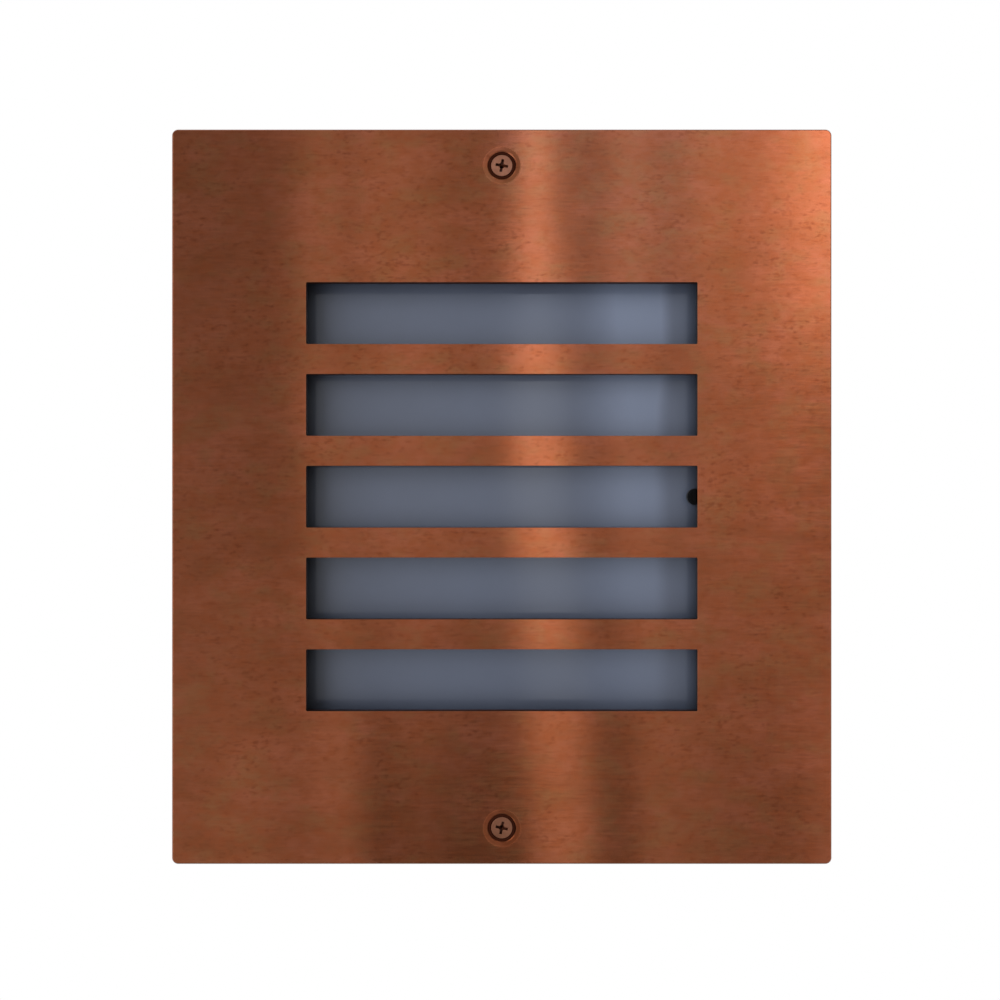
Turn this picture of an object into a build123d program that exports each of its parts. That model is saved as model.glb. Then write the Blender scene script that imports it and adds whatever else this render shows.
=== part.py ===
from build123d import *
import os

# Recessed wall light with a slotted copper face plate.
# X runs to the right, Z up and Y into the wall. The origin is the middle of the wall plane, on which
# the wall box's flange rests, so the face plate stands at negative Y. Lengths are millimetres.

# Face plate, cut from copper sheet
plate_width = 220.0
plate_height = 245.0
plate_thickness = 3.0
plate_corner = 2.0
plate_edge = 0.4
slot_count = 5
slot_width = 130.5
slot_height = 20.6
slot_bar = 10.0
slot_corner = 0.4

# Cover screws, countersunk with a cross recess, and the seal under each head
screw_inset = 12.0
screw_thread = 4.0
screw_length = 16.0
screw_head = 7.2
screw_head_rim = 0.3
screw_head_sink = 0.3
screw_hole = 4.6
screw_tip = 0.6
sink_mouth = 9.9
dish_width = 1.2
dish_depth = 0.15
recess_span = 4.2
recess_blade = 1.15
recess_core = 2.2
recess_depth = 1.6
recess_turn_top = 10.0
recess_turn_bottom = 12.0
seal_sink = 0.4

# Cover gasket between the plate and the wall box's flange
gasket_thickness = 2.0
gasket_setback = 2.0
gasket_width = 8.0
gasket_lobe = 13.0
gasket_screw_hole = 5.2

# Frame behind the plate that carries the glass
frame_standoff = 4.0
frame_floor = 2.5
frame_wall = 2.5
frame_border_side = 16.0
frame_border_end = 16.0
frame_corner = 6.0
window_clear_side = 2.75
window_clear_end = 3.5
window_corner = 2.0
stud_thread = 4.0
stud_inset = 8.0
stud_boss = 9.0
stud_reach = 5.0
nut_across = 7.0
nut_height = 3.2

# Glass pane, its gasket, the two retainers behind it and the bumpers in front of the frame
glass_thickness = 4.0
glass_lap_side = 1.5
glass_lap_end = 4.0
glass_corner = 2.5
glass_gasket_thickness = 1.0
retainer_length = 90.0
retainer_sheet = 1.2
retainer_grip = 5.0
retainer_tail = 8.5
retainer_corner = 3.0
retainer_screw_spacing = 72.0
retainer_boss = 7.0
retainer_boss_offset = 4.5
retainer_thread = 3.0
retainer_screw_head = 5.6
retainer_screw_head_height = 1.8
bumper_head = 5.6
bumper_offset = 0.65
bumper_stem = 2.4
bumper_barb = 3.2
bumper_barb_length = 1.6
bumper_sink = 1.3

# Wall box, moulded with drafted walls
reveal = 2.0
lip_side = 8.0
lip_end = 4.5
flange_thickness = 2.5
flange_corner = 3.0
box_depth = 100.0
box_wall = 3.0
body_corner = 8.0
body_draft = 3.0
rib_count = 4
rib_width = 2.5
rib_height = 1.5
rib_start = 24.0
rib_spacing_side = 52.0
rib_spacing_end = 46.0
screw_boss = 10.6
screw_boss_depth = 18.0
screw_boss_floor = 3.0
insert_diameter = 6.4
insert_length = 9.0
post_height = 8.0
post_diameter = 8.0
post_spacing_x = 140.0
post_spacing_z = 72.0
fixing_spacing_x = 150.0
fixing_spacing_z = 188.0
fixing_hole = 5.2
fixing_pad = 15.0
fixing_pad_height = 1.5

# Reflector, folded from white sheet, on four posts
reflector_sheet = 1.2
reflector_end_gap = 6.0
reflector_flat = 100.0
reflector_wing_rise = 26.0
reflector_wing_run = 30.0
reflector_bend = 4.0
reflector_thread = 3.5
reflector_screw_head = 7.0
reflector_screw_head_height = 2.0
reflector_screw_length = 8.0
lead_hole = 6.0

# Lampholder on its bracket
bracket_sheet = 2.0
bracket_side_gap = 8.0
bracket_height = 44.0
bracket_foot = 26.0
bracket_foot_height = 28.0
bracket_over = 24.0
bracket_bend = 2.5
rivet_diameter = 4.0
rivet_head = 7.0
rivet_head_height = 1.4
rivet_spacing = 16.0
holder_diameter = 40.0
holder_rim = 42.0
holder_rim_length = 6.0
holder_base_length = 18.0
holder_cup_length = 24.0
holder_taper = 1.5
holder_screw_thread = 4.0
holder_screw_spacing = 24.0
holder_screw_length = 14.0
holder_screw_head = 7.4
holder_screw_head_height = 2.6
shell_wall = 0.6
shell_gap = 0.4
contact_strip = 0.6
contact_width = 7.0
contact_length = 15.0
contact_height = 3.6

# Lamp with an opal globe
lamp_cap_diameter = 26.2
lamp_cap_length = 20.0
lamp_cap_wall = 0.7
lamp_tip_diameter = 9.6
lamp_tip_height = 1.8
lamp_insulator_height = 4.0
lamp_globe_diameter = 60.0
lamp_housing_length = 41.0
lamp_globe_overlap = 12.0
lamp_shell = 1.8
lamp_to_contact = 0.3
lamp_to_reflector = 4.0

# Terminal block and the two leads to the lampholder
block_ways = 3
block_pitch = 12.0
block_height = 17.0
block_depth = 13.0
block_rise = 24.0
block_tunnel = 4.0
block_groove = 2.0
block_corner = 1.0
block_screw = 3.4
block_screw_height = 1.2
block_screw_well = 5.0
block_screw_row = 9.0
block_fixing_thread = 3.0
block_fixing_head = 5.4
block_fixing_head_height = 1.6
block_fixing_well = 4.0
block_fixing_bite = 2.0
lead_diameter = 2.4
lead_sweep = 18.0
lead_bend = 6.0
lead_in_block = 4.0
lead_in_holder = 3.0
lead_rise = 20.0
lead_spread = 36.0

# Cable gland on the back, and a blanking plug beside it
entry_spacing = 100.0
entry_rise = 30.0
entry_thread = 20.0
entry_hole_gap = 0.3
gland_washer = 28.0
gland_washer_thickness = 1.5
gland_hex = 24.0
gland_hex_height = 6.0
gland_stub_in = 12.0
gland_stub_out = 10.0
gland_wall = 1.4
gland_bore = 12.6
gland_floor = 5.0
locknut_across = 26.0
locknut_height = 5.0
thread_gap = 0.08
cable_bore = 10.0
gland_seal_gap = 0.2
gland_seal_stand = 4.0
gland_seal_nose = 1.2
gland_nut_diameter = 25.0
gland_nut_length = 18.0
gland_nut_gap = 0.5
gland_nut_mouth = 13.0
gland_nut_grip_count = 12
gland_nut_grip = 1.6
plug_head = 26.0
plug_head_height = 5.0
plug_slot = 2.4
plug_slot_depth = 2.0

# Room left between pieces that move past each other, and between pieces that are only near
running_gap = 0.05
body_gap = 0.15

# Depths, from the front of the plate back to the wall box's floor
flange_front = -flange_thickness
plate_back = flange_front - gasket_thickness
plate_front = plate_back - plate_thickness
floor_front = plate_back + frame_standoff
floor_back = floor_front + frame_floor
glass_front = floor_back + glass_gasket_thickness
glass_back = glass_front + glass_thickness
box_floor = box_depth - box_wall
reflector_back = box_floor - post_height
reflector_front = reflector_back - reflector_sheet

# Outlines that follow from one another
slot_pitch = slot_height + slot_bar
field_height = slot_count * slot_pitch - slot_bar
window_width = slot_width + 2 * window_clear_side
window_height = field_height + 2 * window_clear_end
glass_width = window_width + 2 * glass_lap_side
glass_height = window_height + 2 * glass_lap_end
frame_width = window_width + 2 * frame_border_side
frame_height = window_height + 2 * frame_border_end
flange_width = plate_width - 2 * reveal
flange_height = plate_height - 2 * reveal
body_width = flange_width - 2 * lip_side
body_height = flange_height - 2 * lip_end
floor_half_width = body_width / 2 - body_draft - box_wall
floor_half_height = body_height / 2 - body_draft - box_wall
reflector_half_length = floor_half_width - reflector_end_gap

# Places that several pieces share
screw_z = plate_height / 2 - screw_inset
screw_places = [(0, screw_z), (0, -screw_z)]
stud_x = frame_width / 2 - stud_inset
stud_z = frame_height / 2 - stud_inset
stud_places = [(x, z) for x in (-stud_x, stud_x) for z in (-stud_z, stud_z)]
retainer_boss_z = glass_height / 2 + retainer_boss_offset
retainer_places = [
    (x, z)
    for x in (-retainer_screw_spacing / 2, retainer_screw_spacing / 2)
    for z in (-retainer_boss_z, retainer_boss_z)
]
bumper_x = slot_width / 2 + bumper_offset
bumper_places = [(bumper_x, 0), (-bumper_x, slot_pitch / 2), (-bumper_x, -slot_pitch / 2)]
post_places = [
    (x, z)
    for x in (-post_spacing_x / 2, post_spacing_x / 2)
    for z in (-post_spacing_z / 2, post_spacing_z / 2)
]
fixing_places = [
    (x, z)
    for x in (-fixing_spacing_x / 2, fixing_spacing_x / 2)
    for z in (-fixing_spacing_z / 2, fixing_spacing_z / 2)
]
entry_z = entry_rise - floor_half_height
gland_place = (-entry_spacing / 2, entry_z)
plug_place = (entry_spacing / 2, entry_z)
block_z = block_rise - floor_half_height

# The lamp lies level, with its axis along X and its holder on the left
lamp_radius = lamp_globe_diameter / 2
lamp_y = reflector_front - lamp_to_reflector - lamp_radius
bracket_x = bracket_side_gap - floor_half_width
holder_x = bracket_x + bracket_sheet
cup_x = holder_x + holder_base_length
cup_mouth_x = cup_x + holder_cup_length
lamp_x = cup_x + contact_height + lamp_to_contact
cap_x = lamp_x + lamp_tip_height + lamp_insulator_height
housing_x = cap_x + lamp_cap_length
globe_x = housing_x + lamp_housing_length
globe_centre_x = globe_x + lamp_globe_overlap
shell_bore = lamp_cap_diameter + 2 * shell_gap
rivet_x = holder_x + bracket_foot / 2
lead_depth = (reflector_back + box_floor) / 2
lead_x = holder_x + holder_base_length / 2


def slab(outline, front, back):
    """An outline drawn in X and Z, filled from one depth to another."""
    return extrude(Plane.XZ.offset(-back) * outline, back - front)


def at_places(outline, places):
    """One outline repeated at several places on a slab's face."""
    return Sketch() + [Pos(x, z) * outline for x, z in places]


def turned(points, axis):
    """A closed profile turned about one of the axes of the drawing plane."""
    return revolve(make_face(Polyline(*points, close=True)), axis)


def along_y(points, place):
    """A profile of radius and depth, turned about a line along Y."""
    x, z = place
    return Pos(x, 0, z) * turned(points, Axis.Y)


def along_lamp(points):
    """A profile of X and radius, turned about the lamp's axis."""
    return Pos(0, lamp_y, 0) * turned(points, Axis.X)


def pan_screw(thread, length, head, head_height):
    """A pan-head screw with its seat at the origin and its shank along Y."""
    profile = [
        (0, -head_height),
        (head / 2 - head_height / 2, -head_height),
        (head / 2, -head_height / 2),
        (head / 2, 0),
        (thread / 2, 0),
        (thread / 2, length - thread / 4),
        (thread / 4, length),
        (0, length),
    ]
    return turned(profile, Axis.Y)


def hex_nut(across, bore, front, back, place):
    outline = RegularPolygon(across / 2, 6, major_radius=False) - Circle(bore / 2)
    return slab(Pos(*place) * outline, front, back)


def body_outline(depth, inset):
    """The wall box's drafted outline at a depth, drawn in by a wall."""
    inwards = 2 * (inset + body_draft * depth / box_depth)
    return Plane.XZ.offset(-depth) * RectangleRounded(
        body_width - inwards, body_height - inwards, body_corner - inset
    )


def slot_places():
    first = (slot_count - 1) / 2 * slot_pitch
    return [(0, first - index * slot_pitch) for index in range(slot_count)]


def face_plate():
    blank = slab(RectangleRounded(plate_width, plate_height, plate_corner), plate_front, plate_back)
    blank = chamfer(blank.faces().sort_by(Axis.Y)[0].edges(), plate_edge)
    slots = at_places(RectangleRounded(slot_width, slot_height, slot_corner), slot_places())
    plate = blank - slab(slots, plate_front, plate_back)
    mouth = sink_mouth / 2
    hole = screw_hole / 2
    sink = [
        (0, plate_front),
        (mouth + dish_width, plate_front),
        (mouth, plate_front + dish_depth),
        (hole, plate_front + dish_depth + mouth - hole),
        (hole, plate_back + plate_thickness),
        (0, plate_back + plate_thickness),
    ]
    for place in screw_places:
        plate -= along_y(sink, place)
    return plate


def head_cone_start():
    return plate_front + screw_head_sink + screw_head_rim


def cover_screw(place, turn):
    top = plate_front + screw_head_sink
    head = screw_head / 2
    shank = screw_thread / 2
    tip = top + screw_length
    profile = [
        (0, top),
        (head, top),
        (head, head_cone_start()),
        (shank, head_cone_start() + head - shank),
        (shank, tip - screw_tip),
        (shank - screw_tip, tip),
        (0, tip),
    ]
    blades = Rectangle(recess_span, recess_blade) + Rectangle(recess_blade, recess_span)
    recess = extrude(Plane.XZ.offset(-top) * Rot(0, 0, -turn) * blades, -recess_depth, taper=12)
    core = [
        (0, top),
        (recess_core / 2, top),
        (recess_core / 4, top + recess_depth),
        (0, top + recess_depth),
    ]
    x, z = place
    return along_y(profile, place) - Pos(x, 0, z) * recess - along_y(core, place)


def screw_seal(place):
    """A conical washer that fills the sink between the screw's head and the plate."""
    top = plate_front + seal_sink
    inner = screw_head / 2 + body_gap
    outer = sink_mouth / 2 + dish_depth - seal_sink - body_gap
    foot = plate_front + dish_depth + sink_mouth / 2 - screw_hole / 2 - body_gap
    cone_inner = head_cone_start() + inner
    hole = screw_thread / 2 + body_gap
    profile = [
        (inner, top),
        (outer, top),
        (outer + top - foot, foot),
        (hole, foot),
        (hole, cone_inner - hole),
        (inner, head_cone_start()),
    ]
    return along_y(profile, place)


def cover_gasket():
    width = flange_width - 2 * gasket_setback
    height = flange_height - 2 * gasket_setback
    ring = RectangleRounded(width, height, flange_corner)
    ring -= Rectangle(width - 2 * gasket_width, height - 2 * gasket_width)
    ring += at_places(Circle(gasket_lobe / 2), screw_places)
    ring -= at_places(Circle(gasket_screw_hole / 2), screw_places)
    ring &= RectangleRounded(width, height, flange_corner)
    return slab(ring, plate_back, flange_front)


def bumper_ears():
    """Half-round lugs that reach into the window, each just as wide as the bumper on it."""
    reach = window_width / 2 - bumper_x
    lug = Circle(bumper_head / 2) + Pos(reach / 2, 0) * Rectangle(reach, bumper_head)
    return Sketch() + [Pos(x, z) * Rot(0, 0, 0 if x > 0 else 180) * lug for x, z in bumper_places]


def glass_frame():
    tray = RectangleRounded(frame_width, frame_height, frame_corner)
    inside = RectangleRounded(
        frame_width - 2 * frame_wall, frame_height - 2 * frame_wall, frame_corner - frame_wall
    )
    frame = slab(tray, plate_back, floor_back) - slab(inside, plate_back, floor_front)
    frame += slab(at_places(Circle(stud_boss / 2), stud_places), plate_back, floor_front)
    frame += slab(at_places(Circle(retainer_boss / 2), retainer_places), floor_back, glass_back)
    window = RectangleRounded(window_width, window_height, window_corner) - bumper_ears()
    frame -= slab(window, floor_front, floor_back)
    frame -= slab(at_places(Circle(stud_thread / 2 + body_gap), stud_places), plate_back, floor_back)
    frame -= slab(at_places(Circle(retainer_thread / 2), retainer_places), floor_back, glass_back)
    frame -= slab(at_places(Circle(bumper_stem / 2), bumper_places), floor_front, floor_back)
    barb_seat = floor_back - bumper_sink
    return frame - slab(at_places(Circle(bumper_barb / 2), bumper_places), barb_seat, floor_back)


def frame_studs():
    pins = at_places(Circle(stud_thread / 2), stud_places)
    return slab(pins, plate_back, floor_back + stud_reach)


def frame_nuts():
    nuts = [
        hex_nut(nut_across, stud_thread, floor_back, floor_back + nut_height, place)
        for place in stud_places
    ]
    return Compound(children=nuts)


def glass_gasket():
    ring = RectangleRounded(glass_width, glass_height, glass_corner)
    ring -= RectangleRounded(window_width, window_height, window_corner)
    return slab(ring, floor_back, glass_front)


def glass_pane():
    pane = slab(RectangleRounded(glass_width, glass_height, glass_corner), glass_front, glass_back)
    return chamfer(pane.faces().sort_by(Axis.Y)[-1].edges(), plate_edge)


def glass_retainer(side):
    low = glass_height / 2 - retainer_grip
    high = glass_height / 2 + retainer_tail
    strip = Pos(0, (low + high) / 2) * RectangleRounded(retainer_length, high - low, retainer_corner)
    holes = [
        Pos(x, retainer_boss_z) * Circle(retainer_thread / 2)
        for x in (-retainer_screw_spacing / 2, retainer_screw_spacing / 2)
    ]
    bar = slab(strip - holes, glass_back, glass_back + retainer_sheet)
    return bar if side > 0 else bar.mirror(Plane.XY)


def retainer_screws():
    seat = glass_back + retainer_sheet
    length = seat - floor_back
    screw = pan_screw(retainer_thread, length, retainer_screw_head, retainer_screw_head_height)
    turned_round = Rot(180, 0, 0) * screw
    return Compound(children=[Pos(x, seat, z) * turned_round for x, z in retainer_places])


def plate_bumpers():
    head = bumper_head / 2
    stem = bumper_stem / 2
    barb = bumper_barb / 2
    profile = [
        (0, plate_back),
        (head, plate_back),
        (head, floor_front),
        (stem, floor_front),
        (stem, floor_back - bumper_sink),
        (barb, floor_back - bumper_sink),
        (stem, floor_back - bumper_sink + bumper_barb_length),
        (0, floor_back - bumper_sink + bumper_barb_length),
    ]
    return Compound(children=[along_y(profile, place) for place in bumper_places])


def box_ribs():
    """Straight ribs that stand square to the wall while the walls behind them draw in."""
    ribs = []
    for index in range(rib_count):
        step = index - (rib_count - 1) / 2
        across = Rectangle(body_width - 2 * rib_height, rib_width)
        upright = Rectangle(rib_width, body_height - 2 * rib_height)
        ribs.append(Pos(0, step * rib_spacing_side) * across)
        ribs.append(Pos(step * rib_spacing_end, 0) * upright)
    return slab(Sketch() + ribs, rib_start, box_depth)


def wall_box():
    shell = loft([body_outline(0, 0), body_outline(box_depth, 0)])
    hollow = loft([body_outline(flange_front, box_wall), body_outline(box_floor, box_wall)])
    bosses = slab(at_places(Circle(screw_boss / 2), screw_places), 0, screw_boss_depth) & shell
    posts = slab(at_places(Circle(post_diameter / 2), post_places), reflector_back, box_depth)
    pads = slab(at_places(Circle(fixing_pad / 2), fixing_places), box_floor - fixing_pad_height, box_depth)
    flange = slab(RectangleRounded(flange_width, flange_height, flange_corner), flange_front, 0)
    box = flange + shell + box_ribs() - hollow
    box += bosses + slab(at_places(Circle(screw_boss / 2), screw_places), flange_front, 0)
    box += posts + pads
    insert_bores = at_places(Circle(insert_diameter / 2), screw_places)
    box -= slab(insert_bores, flange_front, flange_front + insert_length)
    screw_bores = at_places(Circle(screw_thread / 2 + body_gap), screw_places)
    box -= slab(screw_bores, flange_front, screw_boss_depth - screw_boss_floor)
    box -= slab(at_places(Circle(reflector_thread / 2), post_places), reflector_back, box_floor)
    box -= slab(at_places(Circle(fixing_hole / 2), fixing_places), reflector_back, box_depth)
    bite = box_floor + block_fixing_bite
    box -= slab(at_places(Circle(block_fixing_thread / 2), block_fixing_places()), box_floor, bite)
    entry = entry_thread / 2 + entry_hole_gap
    return box - slab(at_places(Circle(entry), [gland_place, plug_place]), box_floor, box_depth)


def screw_inserts():
    ring = Circle(insert_diameter / 2) - Circle(screw_thread / 2 + running_gap)
    return slab(at_places(ring, screw_places), flange_front, flange_front + insert_length)


def reflector():
    half = reflector_flat / 2
    middle = reflector_back - reflector_sheet / 2
    tip_z = half + reflector_wing_run
    tip_y = middle - reflector_wing_rise
    line = FilletPolyline(
        (tip_y, -tip_z), (middle, -half), (middle, half), (tip_y, tip_z), radius=reflector_bend
    )
    sheet = trace(line, line_width=reflector_sheet)
    folded = extrude(Plane.YZ * sheet, reflector_half_length, both=True)
    holes = at_places(Circle(reflector_thread / 2), post_places)
    holes += at_places(Circle(rivet_diameter / 2), rivet_places())
    holes += at_places(Circle(lead_hole / 2), lead_places())
    return folded - slab(holes, reflector_front, reflector_back)


def reflector_screws():
    screw = pan_screw(
        reflector_thread, reflector_screw_length, reflector_screw_head, reflector_screw_head_height
    )
    return Compound(children=[Pos(x, reflector_front, z) * screw for x, z in post_places])


def rivet_places():
    return [(rivet_x, -rivet_spacing / 2), (rivet_x, rivet_spacing / 2)]


def lead_places():
    return [(lead_x, -lead_spread / 2), (lead_x, lead_spread / 2)]


def holder_screw_places():
    return [(0, lamp_y, z) for z in (-holder_screw_spacing / 2, holder_screw_spacing / 2)]


def lampholder_bracket():
    line = FilletPolyline(
        (bracket_x + bracket_sheet / 2, lamp_y - bracket_over),
        (bracket_x + bracket_sheet / 2, reflector_front - bracket_sheet / 2),
        (holder_x + bracket_foot, reflector_front - bracket_sheet / 2),
        radius=bracket_bend,
    )
    folded = extrude(trace(line, line_width=bracket_sheet), bracket_height / 2, both=True)
    foot_front = reflector_front - bracket_sheet
    notch_height = (bracket_height - bracket_foot_height) / 2
    notch_middle = (bracket_height + bracket_foot_height) / 4
    cut = Rectangle(bracket_foot, notch_height)
    notches = at_places(cut, [(rivet_x, -notch_middle), (rivet_x, notch_middle)])
    bracket = folded - slab(notches, foot_front - bracket_bend, reflector_front)
    bracket -= slab(at_places(Circle(rivet_diameter / 2), rivet_places()), foot_front, reflector_front)
    for place in holder_screw_places():
        hole = Plane.YZ.offset(bracket_x) * Circle(holder_screw_thread / 2)
        bracket -= Pos(*place) * extrude(hole, bracket_sheet)
    return bracket


def bracket_rivets():
    front = reflector_front - bracket_sheet
    head = rivet_head / 2
    shank = rivet_diameter / 2
    profile = [
        (0, front - rivet_head_height),
        (shank, front - rivet_head_height),
        (head, front),
        (shank, front),
        (shank, reflector_back),
        (head, reflector_back),
        (shank, reflector_back + rivet_head_height),
        (0, reflector_back + rivet_head_height),
    ]
    return Compound(children=[along_y(profile, place) for place in rivet_places()])


def lampholder_body():
    outer = holder_diameter / 2
    rim = holder_rim / 2
    bore = shell_bore / 2 + shell_wall
    profile = [
        (holder_x, 0),
        (holder_x, outer),
        (cup_x, outer),
        (cup_mouth_x - holder_rim_length, outer - holder_taper),
        (cup_mouth_x - holder_rim_length, rim),
        (cup_mouth_x, rim),
        (cup_mouth_x, bore),
        (cup_x, bore),
        (cup_x, 0),
    ]
    body = along_lamp(profile)
    depth = holder_screw_length - bracket_sheet
    for place in holder_screw_places():
        hole = Plane.YZ.offset(holder_x) * Circle(holder_screw_thread / 2)
        body -= Pos(*place) * extrude(hole, depth)
    entries = at_places(Circle(lead_diameter / 2 + running_gap), lead_places())
    return body - slab(entries, lead_end(), reflector_front)


def lead_end():
    """The depth at which a lead stops inside the lampholder."""
    reach = (holder_diameter / 2) ** 2 - (lead_spread / 2) ** 2
    return lamp_y + reach**0.5 - lead_in_holder


def lampholder_screws():
    screw = pan_screw(
        holder_screw_thread, holder_screw_length, holder_screw_head, holder_screw_head_height
    )
    lying = Rot(0, 0, -90) * screw
    return Compound(children=[Pos(bracket_x, y, z) * lying for _, y, z in holder_screw_places()])


def lampholder_shell():
    inner = shell_bore / 2
    outer = inner + shell_wall
    profile = [(cup_x, inner), (cup_x, outer), (cup_mouth_x, outer), (cup_mouth_x, inner)]
    return along_lamp(profile)


def lampholder_contact():
    half = contact_length / 2
    foot = cup_x + contact_strip / 2
    top = cup_x + contact_height - contact_strip / 2
    line = Polyline((foot, -half), (foot, -half / 3), (top, half / 3), (top, half))
    strip = extrude(trace(line, line_width=contact_strip), contact_width / 2, both=True)
    return Pos(0, lamp_y, 0) * strip


def lamp_contact():
    radius = lamp_tip_diameter / 2
    edge = lamp_tip_height / 2
    end = lamp_x + lamp_tip_height
    profile = [(lamp_x, 0), (lamp_x, radius - edge), (lamp_x + edge, radius), (end, radius), (end, 0)]
    return along_lamp(profile)


def lamp_insulator():
    start = lamp_x + lamp_tip_height
    wide = lamp_cap_diameter / 2 - lamp_cap_wall
    profile = [(start, 0), (start, lamp_tip_diameter / 2), (cap_x, wide), (cap_x, 0)]
    return along_lamp(profile)


def lamp_cap():
    outer = lamp_cap_diameter / 2
    inner = outer - lamp_cap_wall
    profile = [(cap_x, inner), (cap_x, outer), (housing_x, outer), (housing_x, inner)]
    return along_lamp(profile)


def globe_edge_radius():
    return (lamp_radius**2 - lamp_globe_overlap**2) ** 0.5


def flared_face(inset):
    """Half the housing's section, which flares from the cap to the globe."""
    neck = lamp_cap_diameter / 2 - inset
    mouth = globe_edge_radius() - inset
    flare = Spline(
        (housing_x, neck), (globe_x, mouth), tangents=[(1, 0.1), (lamp_radius, lamp_globe_overlap)]
    )
    return make_face(flare + Polyline((globe_x, mouth), (globe_x, 0), (housing_x, 0), (housing_x, neck)))


def lamp_housing():
    shell = flared_face(0) - flared_face(lamp_shell)
    return Pos(0, lamp_y, 0) * revolve(shell, Axis.X)


def globe_face(radius):
    cut = Pos(globe_x + radius, radius) * Rectangle(2 * radius, 2 * radius)
    return Pos(globe_centre_x, 0) * Circle(radius) & cut


def lamp_globe():
    shell = globe_face(lamp_radius) - Pos(globe_centre_x, 0) * Circle(lamp_radius - lamp_shell)
    return Pos(0, lamp_y, 0) * revolve(shell, Axis.X)


def block_way_x(index):
    return (index - (block_ways - 1) / 2) * block_pitch


def block_front():
    return box_floor - block_depth


def block_seat():
    """The depth at which the heads of the block's fixing screws sit."""
    return block_front() + block_fixing_well


def block_fixing_places():
    return [(block_way_x(index) + block_pitch / 2, block_z) for index in range(block_ways - 1)]


def block_screw_places():
    rows = (block_z - block_screw_row / 2, block_z + block_screw_row / 2)
    return [(block_way_x(index), z) for index in range(block_ways) for z in rows]


def terminal_block():
    body = Pos(0, block_z) * RectangleRounded(block_ways * block_pitch, block_height, block_corner)
    block = slab(body, block_front(), box_floor)
    grooves = at_places(Rectangle(block_groove, block_height), block_fixing_places())
    block -= slab(grooves, block_front(), block_front() + block_groove)
    wells = at_places(Circle(block_screw / 2 + body_gap), block_screw_places())
    block -= slab(wells, block_front(), block_front() + block_screw_well)
    head_wells = at_places(Circle(block_fixing_head / 2), block_fixing_places())
    block -= slab(head_wells, block_front(), block_seat())
    fixing_holes = at_places(Circle(block_fixing_thread / 2), block_fixing_places())
    block -= slab(fixing_holes, block_seat(), box_floor)
    for index in range(block_ways):
        tunnel = Pos(block_way_x(index), lead_depth) * Circle(block_tunnel / 2)
        block -= extrude(Plane.XY.offset(block_z) * tunnel, block_height / 2, both=True)
    return block


def terminal_screws():
    front = block_front() + block_screw_well - block_screw_height
    discs = at_places(Circle(block_screw / 2), block_screw_places())
    return slab(discs, front, front + block_screw_height)


def terminal_fixings():
    length = box_floor - block_seat() + block_fixing_bite
    screw = pan_screw(block_fixing_thread, length, block_fixing_head, block_fixing_head_height)
    return Compound(children=[Pos(x, block_seat(), z) * screw for x, z in block_fixing_places()])


def lead(way, place):
    """A lead from the top of the terminal block, behind the reflector and into the lampholder."""
    x, z = place
    start_x = block_way_x(way)
    top = block_z + block_height / 2
    path = FilletPolyline(
        (start_x, lead_depth, top - lead_in_block),
        (start_x, lead_depth, top + lead_rise),
        (x, lead_depth, z),
        (x, lead_end(), z),
        radius=[lead_sweep, lead_bend],
    )
    section = Plane(path @ 0, z_dir=path % 0) * Circle(lead_diameter / 2)
    return sweep(section, path=path)


def entry_washer(place):
    ring = Circle(gland_washer / 2) - Circle(entry_thread / 2 + entry_hole_gap)
    return slab(Pos(*place) * ring, box_depth, box_depth + gland_washer_thickness)


def entry_locknut(place):
    bore = entry_thread + 2 * thread_gap
    return hex_nut(locknut_across, bore, box_floor - locknut_height, box_floor, place)


def gland_seat():
    return box_depth + gland_washer_thickness


def gland_body():
    start = box_floor - gland_stub_in + box_wall
    seat = gland_seat()
    mouth = seat + gland_hex_height + gland_stub_out
    seal_floor = seat + gland_floor
    thread = entry_thread / 2
    bore = gland_bore / 2
    profile = [
        (bore, start),
        (thread, start),
        (thread, mouth),
        (thread - gland_wall, mouth),
        (thread - gland_wall, seal_floor),
        (bore, seal_floor),
    ]
    hexagon = hex_nut(gland_hex, entry_thread, seat, seat + gland_hex_height, gland_place)
    return along_y(profile, gland_place) + hexagon


def gland_seal():
    start = gland_seat() + gland_floor
    mouth = gland_seat() + gland_hex_height + gland_stub_out
    outer = entry_thread / 2 - gland_wall - gland_seal_gap
    bore = cable_bore / 2
    end = mouth + gland_seal_stand
    nose = bore + gland_seal_nose
    profile = [(bore, start), (outer, start), (outer, mouth), (nose, end), (bore, end)]
    return along_y(profile, gland_place)


def gland_nut():
    start = gland_seat() + gland_hex_height + gland_nut_gap
    end = start + gland_nut_length
    bore = entry_thread / 2 + thread_gap
    outer = gland_nut_diameter / 2
    mouth = gland_nut_mouth / 2
    cone = gland_seat() + gland_hex_height + gland_stub_out + gland_nut_gap
    crown = outer - mouth - gland_nut_grip
    profile = [
        (bore, start),
        (outer, start),
        (outer, end - crown),
        (mouth + gland_nut_grip, end),
        (mouth, end),
        (mouth, cone + bore - mouth),
        (bore, cone),
    ]
    nut = along_y(profile, gland_place)
    x, z = gland_place
    flute = Pos(outer, 0) * Circle(gland_nut_grip / 2)
    flutes = Pos(x, z) * PolarLocations(0, gland_nut_grip_count) * flute
    return nut - slab(Sketch() + flutes, start, end - crown)


def blanking_plug():
    seat = gland_seat()
    head = plug_head / 2
    thread = entry_thread / 2
    start = box_floor - gland_stub_in + box_wall
    end = seat + plug_head_height
    edge = plug_slot_depth / 2
    bore = thread - gland_wall
    profile = [
        (bore, start),
        (thread, start),
        (thread, seat),
        (head, seat),
        (head, end - edge),
        (head - edge, end),
        (0, end),
        (0, seat),
        (bore, seat),
    ]
    slot = Pos(*plug_place) * Rectangle(plug_head, plug_slot)
    return along_y(profile, plug_place) - slab(slot, end - plug_slot_depth, end)


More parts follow.
